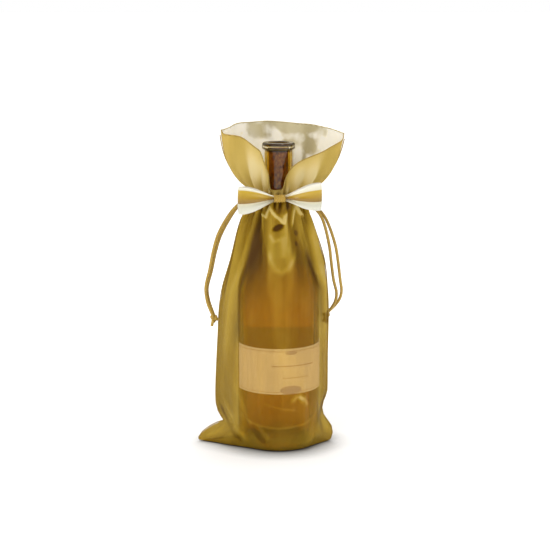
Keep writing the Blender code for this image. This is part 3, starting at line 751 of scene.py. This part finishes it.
def pleats(a, x, z, side):
    """How far the regular folds stand off the smooth cloth. a runs from 0 to 1 across the
    panel, and side is -1 for the front one."""
    drift = a + 0.014 * np.sin(math.tau * 2.3 * a + side) + 0.009 * np.sin(math.tau * 5.1 * a + 2.1 * side)
    tight = np.sin(math.tau * TIGHT_PLEATS * drift + 0.8 * side)
    rise = smooth(z, 196, 243) * (1 - 0.62 * smooth(z, 246, 250))
    calm = 1.0
    if side < 0:
        in_drape = smooth(np.abs(x - DRAPE_X), 22, 14)
        rise = rise * (1 - 0.75 * in_drape * smooth(z, 243, 234))
        calm = 1 - 0.7 * in_drape
    out = PLEAT_DEPTH * rise * (tight + 0.25 * np.sin(2 * math.tau * TIGHT_PLEATS * drift))
    fan = np.sin(math.tau * FAN_FOLDS * drift + 0.7 + 0.5 * side + 0.5 * np.sin(z / 31 + side))
    out = out + calm * (FAN_DEPTH * smooth(z, 130, 214) * smooth(z, 252, 226) + 0.5) * fan
    broad = np.sin(math.tau * BROAD_FOLDS * drift + 1.9 * side + z / 70)
    out = out + (0.9 + 1.3 * smooth(z, 90, 180) * smooth(z, 240, 200)) * broad
    for k, (count, lean, amount) in enumerate(RIPPLES):
        ripple = np.sin(math.tau * count * a + lean * z + 1.7 * k + side)
        out = out + amount * ripple * smooth(z, 250, 225)
    return out


def folds(a, x, z, side):
    """How far the cloth stands off its smooth shape, and the painted light and shade there: the
    pleats, and on the front the creases, the pocket, the dark spots of painted shade and the
    painted light on the drape."""
    out = pleats(a, x, z, side)
    beside = smooth(np.abs(x), 38, 45)
    # Painted light near the floor; beside the bottle it is made darker from about 20 mm up, most below about
    # 110 mm
    near_floor = 0.3 * smooth(z, 26, 8)
    side_darkening = (0.14 + 0.18 * smooth(z, 170, 110)) * smooth(z, 18, 34)
    painted_light_mark = 0.4 * smooth(z, 27, 5) * (1 - beside) + beside * (near_floor - side_darkening)
    if side < 0:
        for points, width, height, shade in FRONT_CREASES:
            line = stroke(x, z, points, width)
            out = out + height * line
            painted_light_mark = painted_light_mark + shade * line
        # A dent darkened with painted shade, then the dark spots of painted shade
        pocket = spot(x, z, *POCKET)
        out = out - 2.4 * pocket
        painted_light_mark = painted_light_mark - 1.1 * pocket
        for *shape, shade in FRONT_SHADE_SPOTS:
            painted_light_mark = painted_light_mark + shade * spot(x, z, *shape)
        # Painted light on the calm drape under the bow, above its hanging edge
        hang = DRAPE_LOW[1] + DRAPE_CURVE * (x - DRAPE_LOW[0]) ** 2
        painted_drape_light = smooth(z, hang, hang + 7) * smooth(z, 236, 226) * smooth(np.abs(x - 3), 22, 17)
        painted_light_mark = painted_light_mark + 0.22 * painted_drape_light
    return out, np.clip(painted_light_mark, -1, 1)


def body_grid(side):
    """One panel of the bag's body, from the tie down and under the bottle to the bottom seam."""
    wall = np.linspace(TIE_Z, WALL_LOW_Z, WALL_ROWS)
    heights = np.concatenate([wall, np.linspace(BEND_TOP_Z, BEND_LOW_Z, BEND_ROWS)])
    left = eased(SEAM_LEFT, heights, SEAM_BLUR) + SEAM_COVER
    right = eased(SEAM_RIGHT, heights, SEAM_BLUR) + SEAM_COVER
    radius = eased(CLOTH_RADIUS, heights, RADIUS_BLUR)
    inside = eased(INSIDE_RADIUS, heights, SEAM_BLUR)
    a = np.linspace(0, 1, COLUMNS)
    edge = smooth(np.minimum(a, 1 - a), 0.0, EDGE_SHARE)
    rows = []
    painted_relief_shade = []
    painted_light_marks = []
    for z, left_x, right_x, outer, inner in zip(heights, left, right, radius, inside):
        points, out = section(outer, left_x, right_x, COLUMNS)
        stand, painted_light_mark = folds(a, points[:, 0], z, side)
        stand = stand * edge
        room = outer - inner - CLEARANCE
        stand = np.where(stand < 0, -room * np.tanh(-stand / max(room, 0.05)), stand)
        stand *= smooth(z, -2, FADE_Z)
        points = points + out * stand[:, None]
        rows.append(np.stack([points[:, 0], side * points[:, 1], np.full(COLUMNS, z)], axis=1))
        # Painted shade of the folds: ridges lighter, valleys darker, more strongly higher up
        painted_relief_shade.append(np.tanh(stand / 2.4) * (0.35 + 0.65 * smooth(z, 95, 175)))
        painted_light_marks.append(painted_light_mark)
    lowest = rows[-1]
    for k in range(1, UNDER_ROWS + 1):
        row = lowest.copy()
        row[:, 1] *= 1 - k / UNDER_ROWS
        row[:, 2] = UNDER_Z
        rows.append(row)
        painted_relief_shade.append(np.zeros(COLUMNS))
        painted_light_marks.append(np.zeros(COLUMNS))
    grid = np.array(rows)
    middle = grid[:, COLUMNS // 2]
    down = np.concatenate([[0], np.cumsum(np.linalg.norm(np.diff(middle, axis=0), axis=1))])
    uv = np.stack(np.broadcast_arrays(a[None, :] * FLAT_WIDTH, -down[:, None]), axis=2)
    return grid * MM, uv * MM, {"fold": np.array(painted_relief_shade), "painted_light_mark": np.array(painted_light_marks)}


def make_body():
    for side, name, node in ((-1, "front_cloth", "front_panel"), (1, "back_cloth", "back_panel")):
        grid, uv, shades = body_grid(side)
        cloth = surface(name, grid, uv, **shades)
        cloth.data.materials.append(body_cloth)
        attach(cloth, "bag")
        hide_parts(node, *(["drawstring_casing"] if side > 0 else []))


# ---------------------------------------------------------------- collar

COLLAR_BASE = 17.6  # radius where it leaves the tie
COLLAR_BASE_Z = 249.0
COLLAR_HEIGHT = 68  # of the flat cloth
COLLAR_ROWS = 44
BACK_COLUMNS = 181
LOBE_COLUMNS = 121
COLLAR_EDGE_SHARE = 0.08  # of a panel's width, over which its folds fade towards its ends
# Where each panel starts and ends round the tie, in degrees from the right seam.
BACK_TURN = (180, 0)
LOBE_TURNS = (("left", (262, 180)), ("right", (278, 360)))
COLLAR_LEAN = -0.35  # how far a fold leans down as it stands out
CLOTH_THICKNESS = 0.0003
HEM_RADIUS = 0.55
HEM_POINTS = 90
# Each lobe's free edge, from the notch out to its corner, and the rim of the back.
LOBES = {
    "left": [
        (1.5, -19.2, 254.8), (-5.5, -19.2, 254.6), (-9.3, -19.4, 256.4), (-9.6, -19.8, 262),
        (-10.1, -20.5, 270.6), (-13.9, -21.3, 282.2), (-17.4, -22, 292), (-21.5, -21.2, 295.8),
        (-27.2, -19, 300.1), (-33.9, -16, 304), (-39.7, -12, 305.6), (-46.5, -7, 306.2),
        (-52.6, -2.4, 307), (-55.4, 0, 310.6),
    ],
    "right": [
        (-1.5, -18.6, 254.6), (2.4, -19, 254.8), (5.0, -19.4, 257.6), (6.4, -19.7, 262.8),
        (9, -20, 269.6), (11.9, -20.3, 275.4), (14.7, -20.3, 278.6), (20.5, -19.5, 282.5),
        (31.9, -16.5, 287.4), (46.4, -10.5, 292.5), (57.1, -5, 298.1), (61.4, -2.2, 301.4),
        (63.1, 0, 307.2),
    ],
}
BACK_RIM = [
    (-55.4, 0, 310.6), (-51.5, 3, 311.3), (-46.9, 6, 312.9), (-43.1, 11, 314.9), (-37.4, 16, 315.9),
    (-27.8, 23, 316.2), (-18, 30, 316.2), (-8, 34, 315.9), (1.5, 35.5, 315.3), (11.4, 35, 314.6),
    (21.2, 32.5, 313.8), (30.9, 29, 313.2), (40.6, 23, 312.1), (50.1, 15.5, 310.6), (59.5, 5, 308.2),
    (63.1, 0, 307.2),
]
# How far out and how far up the wall has gone where it turns upward, as shares of its own reach.
MIDDLE_BEND = np.array([0.62, 0.30])
LEFT_SEAM_BEND = np.array([0.92, 0.17])
RIGHT_SEAM_BEND = np.array([0.81, 0.06])
# Folds of a collar panel: their number across it, where they start, and how deep they are at
# the tie, how much deeper about half way up, and how deep at the rim.
BACK_WAVES = [(9, 0.4, 1.1, 0.7, 0.0), (3.5, 1.2, 0, 1.6, 0.8), (6, 2.6, 0.3, 0.9, 0.3)]
LOBE_WAVES = [(5, 0.4, 1.2, 0.7, 0.0), (1.6, 2.4, 0, 1.2, 0.5), (3.2, 0.9, 0.2, 0.6, 0.3)]
# Painted highlights, as bright ovals: their middle, width and height, in shares of the panel's width and
# height.
BACK_PAINTED_HIGHLIGHTS = [
    ((0.07, 0.80), 0.13, 0.34), ((0.25, 0.74), 0.07, 0.16), ((0.455, 0.84), 0.03, 0.10),
    ((0.36, 0.52), 0.07, 0.20), ((0.64, 0.58), 0.05, 0.18), ((0.92, 0.84), 0.14, 0.30),
]
LOBE_PAINTED_HIGHLIGHTS = [((0.5, 0.68), 0.26, 0.26), ((0.25, 0.35), 0.1, 0.2)]


def collar_grid(rim_points, turn_deg, columns, waves, painted_highlights):
    """One panel of the collar: pleated where it leaves the tie, smooth at its rim."""
    rim = spline(rim_points, columns)
    turn = np.radians(np.linspace(*turn_deg, columns))
    cos, sin = np.cos(turn), np.sin(turn)
    base = np.stack([COLLAR_BASE * cos, COLLAR_BASE * sin, np.full(columns, COLLAR_BASE_Z)], axis=1)
    beside = (cos**2)[:, None]
    seam_bend = np.where(cos[:, None] < 0, LEFT_SEAM_BEND, RIGHT_SEAM_BEND)
    out_up = MIDDLE_BEND + (seam_bend - MIDDLE_BEND) * beside
    bend = base + (rim - base) * out_up[:, [0, 0, 1]]
    out = np.stack([cos, sin, np.full(columns, COLLAR_LEAN)], axis=1)
    out /= np.linalg.norm(out, axis=1)[:, None]
    a = np.linspace(0, 1, columns)
    edge = smooth(np.minimum(a, 1 - a), 0, COLLAR_EDGE_SHARE)
    grid = []
    painted_relief_shade = []
    painted_light_marks = []
    for t in np.linspace(0, 1, COLLAR_ROWS):
        keep = 1 - t
        row = keep**2 * base + 2 * keep * t * bend + t**2 * rim
        stand = np.zeros(columns)
        for count, phase, start, middle, end in waves:
            size = start * keep**2 + middle * 4 * keep * t + end * t**2
            stand += size * np.sin(math.tau * count * a + phase + 0.6 * t)
        grid.append(row + out * (stand * edge)[:, None])
        # Painted shade of the folds: ridges lighter, valleys darker
        painted_relief_shade.append(np.tanh(stand * edge / 1.6))
        # Painted highlights: bright ovals on the cloth
        painted_light_mark = np.zeros(columns)
        for (at, up), wide, high in painted_highlights:
            painted_light_mark = painted_light_mark + np.exp(-(((a - at) / wide) ** 2) - ((t - up) / high) ** 2)
        painted_light_marks.append(painted_light_mark)
    grid = np.array(grid)
    upward = np.linspace(0, COLLAR_HEIGHT, COLLAR_ROWS)
    across = np.concatenate([[0], np.cumsum(np.linalg.norm(np.diff(rim, axis=0), axis=1))])
    uv = np.stack(np.broadcast_arrays(across[None, :], upward[:, None]), axis=2)
    return grid * MM, uv * MM, {"fold": np.array(painted_relief_shade), "painted_light_mark": np.clip(painted_light_marks, -1, 1)}


def rim_hem(name, grid, finish):
    """The rolled hem along a collar panel's free edge."""
    edge = grid[-1]
    step = max(1, len(edge) // HEM_POINTS)
    hem = tube(name, edge[::step], HEM_RADIUS * MM, finish, 2)
    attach(hem, "bag")
    return hem


def thicken(obj, inner):
    """Gives a cloth panel a second face with its own finish."""
    obj.data.materials.append(inner)
    shell = solidify(obj, CLOTH_THICKNESS, -1)
    shell.material_offset = 1
    shell.material_offset_rim = 0


def make_collar():
    back, uv, shades = collar_grid(BACK_RIM, BACK_TURN, BACK_COLUMNS, BACK_WAVES, BACK_PAINTED_HIGHLIGHTS)
    cloth = surface("collar_back_cloth", back, uv, **shades)
    cloth.data.materials.append(inner_cloth)
    thicken(cloth, lobe_cloth)
    hem = rim_hem("collar_back_rolled_hem", back, pale_thread)
    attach(cloth, "bag")
    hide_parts("collar_back")
    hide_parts("collar_back_hem")
    for side, turn in LOBE_TURNS:
        grid, uv, shades = collar_grid(LOBES[side], turn, LOBE_COLUMNS, LOBE_WAVES, LOBE_PAINTED_HIGHLIGHTS)
        lobe = surface("collar_" + side + "_cloth", grid, uv, **shades)
        lobe.data.materials.append(lobe_cloth)
        thicken(lobe, lobe_cloth)
        hem = rim_hem("collar_" + side + "_rolled_hem", grid, hem_thread)
        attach(lobe, "bag")
        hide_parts("collar_" + side + "_lobe")
        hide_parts("collar_" + side + "_lobe_hem")


# ---------------------------------------------------------------- bow

BOW_CENTRE = np.array([1.2, -28, 248.1])
STRIPE = ((0.39, 0.90), (0.33, 0.77))  # where the gold stripe starts and ends, left loop and right
BOW_PLAN = [  # the right loop seen from above, round from the band and back to it
    (5.5, -1.1), (11.8, -3.2), (21.5, -5.2), (31.9, -5.4), (38.1, -3.6), (40.1, -0.5),
    (38.1, 2.4), (31.9, 3.6), (21.5, 3.2), (11.8, 1.8), (5.5, 0.9),
]
BAND_EDGE_X = 5  # where a loop leaves the band
LOOP_REACH = 33  # from there to where a loop is widest
KNOTTED_HALF = 2.3  # half the ribbon's width in the band
OPENED_HALF = 10.7  # and how much wider half of it is where a loop is widest
LOOP_CREASE = 1.1  # how deep the creases at the band are
LOOP_BILLOW = 1.3  # how far the front of a loop bulges
RIBBON_POINTS = 241
RIBBON_ROWS = 33
RIBBON_THICKNESS = 0.00035
BAND_HALF_WIDTH = 5.4
BAND_DEPTH, BAND_HEIGHT = 2.9, 3.5
BAND_POINTS = 64
BAND_ROWS = 25
BAND_THICKNESS = 0.0004


def make_ribbon():
    right = [(x, y, 0) for x, y in BOW_PLAN]
    left = [(-x, y, 0) for x, y in reversed(BOW_PLAN)]
    route = spline([*right, *left, right[0]], RIBBON_POINTS)[:-1]
    x = route[:, 0]
    beyond = np.abs(x) - BAND_EDGE_X
    half = KNOTTED_HALF + OPENED_HALF * np.sin(np.clip(beyond / LOOP_REACH, 0, 1) * math.pi / 2) ** 1.2
    near = np.exp(-(beyond / 11).clip(0) ** 1.4)
    front = np.where(route[:, 1] < 0, -1.0, 1.0)
    leftward = smooth(x, 4, -4)
    rows = []
    painted_relief_shade = []
    stripe = []
    for share in np.linspace(-1, 1, RIBBON_ROWS):
        wave = np.cos(3.6 * math.pi * share + 0.6 * np.sign(x) + 0.02 * x)
        billow = -LOOP_BILLOW * (1 - share**2) * smooth(np.abs(x), 12, 30) * (front < 0)
        # Painted shade: darker in the creases near the band and along the lower edge there
        underside = smooth(share, -0.4, -1) * smooth(near, 0.1, 0.6)
        painted_relief_shade.append(-0.85 * np.clip(wave, 0, 1) * near**0.8 - 0.25 * underside)
        edges = [np.interp((share + 1) / 2, [0, low, high, 1], [0, 0.32, 0.70, 1]) for low, high in STRIPE]
        stripe.append(leftward * edges[0] + (1 - leftward) * edges[1])
        across = x * (1 - 0.018 * share**2)
        deep = route[:, 1] + LOOP_CREASE * wave * near * front + billow
        rows.append(np.stack([across, deep, share * half + 0.05 * x], axis=1))
    grid = (np.array(rows) + BOW_CENTRE) * MM
    steps = np.linalg.norm(np.diff(np.vstack([route, route[:1]]), axis=0), axis=1)
    along = np.concatenate([[0], np.cumsum(steps)])[:-1]
    uv = np.stack(np.broadcast_arrays(along[None, :] * MM, np.array(stripe)), axis=2)
    ribbon = surface("bow_ribbon_satin", grid, uv, closed=True, fold=np.array(painted_relief_shade))
    ribbon.data.materials.append(ribbon_satin)
    solidify(ribbon, RIBBON_THICKNESS, 0)
    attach(ribbon, "bow")
    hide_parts("bow_ribbon")


def make_band():
    turn = np.linspace(0, math.tau, BAND_POINTS, endpoint=False)
    rows = []
    for s in np.linspace(-1, 1, BAND_ROWS):
        pucker = 0.36 * np.cos(4.5 * math.pi * s + 0.5) - 0.5 * abs(s) ** 3
        across = np.full(BAND_POINTS, BAND_HALF_WIDTH * s)
        deep = (BAND_DEPTH + pucker) * np.cos(turn)
        high = (BAND_HEIGHT + pucker) * np.sin(turn) + 0.25 * s
        rows.append(np.stack([across, deep, high], axis=1))
    grid = (np.array(rows) + BOW_CENTRE) * MM
    band = surface("bow_band_satin", grid, None, closed=True)
    band.data.materials.append(band_satin)
    solidify(band, BAND_THICKNESS, 0)
    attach(band, "bow")
    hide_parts("bow_centre_band")


# ---------------------------------------------------------------- bottle and trim finishes

FRONT_LABEL_Z = (0.0583, 0.1035)
BACK_LABEL_Z = (0.050, 0.1118)
FRONT_LABEL_DEG, BACK_LABEL_DEG = -78, 95
SEAMS = ("left_side_seam", "right_side_seam", "bottom_seam", "collar_left_seam", "collar_right_seam")
CORDS = ("left_drawstring_ring", "right_drawstring_ring", "neck_tie", "bow_stitch")


def finish_node(name, material):
    """Puts the finish on a node that keeps its own solid."""
    obj = nodes[name]
    for slot in obj.material_slots:
        slot.material = material
    if not obj.material_slots:
        obj.data.materials.append(material)


def finish_nodes():
    finish_node("bottle_glass", bottle_amber)
    finish_node("wine", wine_gold)
    finish_node("cork", cork_look)
    finish_node("front_label", paper("front_label_look", *FRONT_LABEL_Z, FRONT_LABEL_DEG, True))
    finish_node("back_label", paper("back_label_look", *BACK_LABEL_Z, BACK_LABEL_DEG, False))
    for name in SEAMS:
        finish_node(name, hem_thread)
    for name in CORDS:
        finish_node(name, cord_satin)


# ---------------------------------------------------------------- floor and light

FLOOR_HALF = 40
FLOOR_Z = -0.0006
SHADOW_REACH = 0.028
SKY_Y = (-0.9, 0.6)  # from the camera's side to the far side, in the sky's own directions
SKY_STRENGTHS = (0.34, 0.84)  # and how bright the sky is at each
LAMPS_AIM = Vector((0, 0, 0.15))
LAMPS = (  # name, place, width, height, watts, colour
    ("key", (-0.55, -0.9, 1.1), 0.6, 0.6, 4.8, (1.0, 0.97, 0.92)),
    ("fill", (0.9, -0.7, 0.7), 0.9, 0.9, 1.5, (1.0, 0.98, 0.95)),
    ("top", (0.1, 0.35, 1.4), 0.8, 0.8, 4.5, (1.0, 1.0, 1.0)),
    ("strip", (0.0, -1.0, 1.0), 1.0, 0.08, 1.6, (1.0, 1.0, 1.0)),
)


def make_floor():
    """A white floor with a painted soft shadow where the bag touches it: its colour and its glow are darker
    near the bag.
    """
    mesh = bpy.data.meshes.new("floor")
    h = FLOOR_HALF
    mesh.from_pydata([(-h, -h, 0), (h, -h, 0), (h, h, 0), (-h, h, 0)], [], [(0, 1, 2, 3)])
    floor = bpy.data.objects.new("floor", mesh)
    bpy.context.scene.collection.objects.link(floor)
    n = Nodes("floor_white")
    # Painted shadow: the floor's colour darkens where the bag is close
    near = n.add("ShaderNodeAmbientOcclusion", samples=8)
    near.inputs["Distance"].default_value = SHADOW_REACH
    open_sky = n.math("POWER", near.outputs["AO"], 1.6)
    white = n.ramp(open_sky, [(0.0, (0.10, 0.10, 0.10)), (1.0, (0.90, 0.90, 0.90))])
    n.link(white, n.shader.inputs["Base Color"])
    n.set(roughness=0.9, specular=0.1)
    n.shader.inputs["Emission Color"].default_value = (1, 1, 1, 1)
    # The glow is weaker near the bag: more painted shadow
    x, y, _ = n.place()
    far = n.math("SQRT", n.math("ADD", n.math("MULTIPLY", x, x), n.math("MULTIPLY", y, y)))
    brightness = n.map_range(far, 0.06, 0.6, low=0.24, high=0.62)
    n.link(n.math("MULTIPLY", brightness, open_sky), n.shader.inputs["Emission Strength"])
    mesh.materials.append(n.material)
    floor.location.z = FLOOR_Z


def make_sky():
    """A warm sky that is brighter behind the bag, and plain white to the camera."""
    world = bpy.data.worlds.new("studio")
    world.use_nodes = True
    tree = world.node_tree
    background = tree.nodes["Background"]
    background.inputs[0].default_value = (1.0, 0.99, 0.97, 1.0)
    where = tree.nodes.new("ShaderNodeTexCoord")
    split = tree.nodes.new("ShaderNodeSeparateXYZ")
    bright = tree.nodes.new("ShaderNodeMapRange")
    bright.interpolation_type = "SMOOTHSTEP"
    for index, value in enumerate((*SKY_Y, *SKY_STRENGTHS), 1):
        bright.inputs[index].default_value = value
    tree.links.new(where.outputs["Generated"], split.inputs[0])
    tree.links.new(split.outputs["Y"], bright.inputs[0])
    tree.links.new(bright.outputs[0], background.inputs[1])
    plain = tree.nodes.new("ShaderNodeBackground")
    plain.inputs[0].default_value = (1, 1, 1, 1)
    sight = tree.nodes.new("ShaderNodeLightPath")
    choose = tree.nodes.new("ShaderNodeMixShader")
    tree.links.new(sight.outputs["Is Camera Ray"], choose.inputs[0])
    tree.links.new(background.outputs[0], choose.inputs[1])
    tree.links.new(plain.outputs[0], choose.inputs[2])
    tree.links.new(choose.outputs[0], tree.nodes["World Output"].inputs["Surface"])
    bpy.context.scene.world = world


def make_lamps():
    for name, place, wide, high, power, colour in LAMPS:
        data = bpy.data.lights.new(name, "AREA")
        data.shape = "RECTANGLE"
        data.size = wide
        data.size_y = high
        data.energy = power
        data.color = colour
        lamp = bpy.data.objects.new(name, data)
        lamp.location = place
        lamp.rotation_mode = "QUATERNION"
        lamp.rotation_quaternion = (LAMPS_AIM - Vector(place)).to_track_quat("-Z", "Y")
        bpy.context.scene.collection.objects.link(lamp)


make_camera()
make_cords()
make_body()
make_collar()
make_ribbon()
make_band()
finish_nodes()
make_floor()
make_sky()
make_lamps()
bpy.context.scene.view_settings.view_transform = "Standard"
